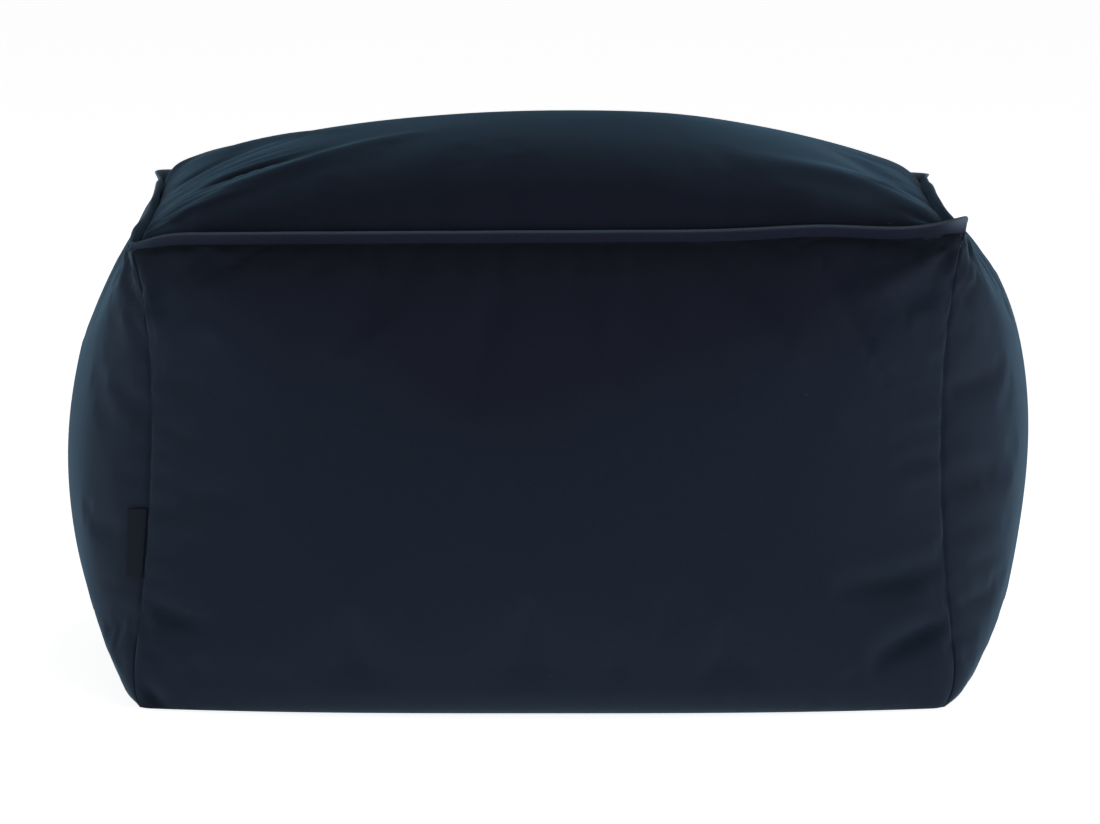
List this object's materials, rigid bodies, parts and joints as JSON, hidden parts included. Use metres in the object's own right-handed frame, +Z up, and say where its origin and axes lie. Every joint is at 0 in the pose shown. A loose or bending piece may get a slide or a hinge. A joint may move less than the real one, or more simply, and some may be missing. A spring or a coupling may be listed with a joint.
{
  "type": "velvet pouf",
  "caption": "Rectangular filled velvet pouf with a crowned top, bulged walls, a topstitched top seam flange and a bare side label, standing flat on the floor.",
  "frame": {"origin": "centre of the base on the floor, at the middle of the object's box", "axes": "+X along the width, to the right as the front is faced; the front faces -Y; +Z up"},
  "size_m": [0.7458, 0.5683, 0.4261],
  "materials": {
    "navy_velvet": "short-pile velvet, very dark navy with a blue sheen",
    "flange_velvet": "the same velvet, folded and topstitched, its pile flattened",
    "label_satin": "bare black woven satin"
  },
  "bodies": {
    "root": {"stuffed_body": "navy_velvet", "top_seam_flange": "flange_velvet", "side_label": "label_satin"}
  },
  "joints": []
}
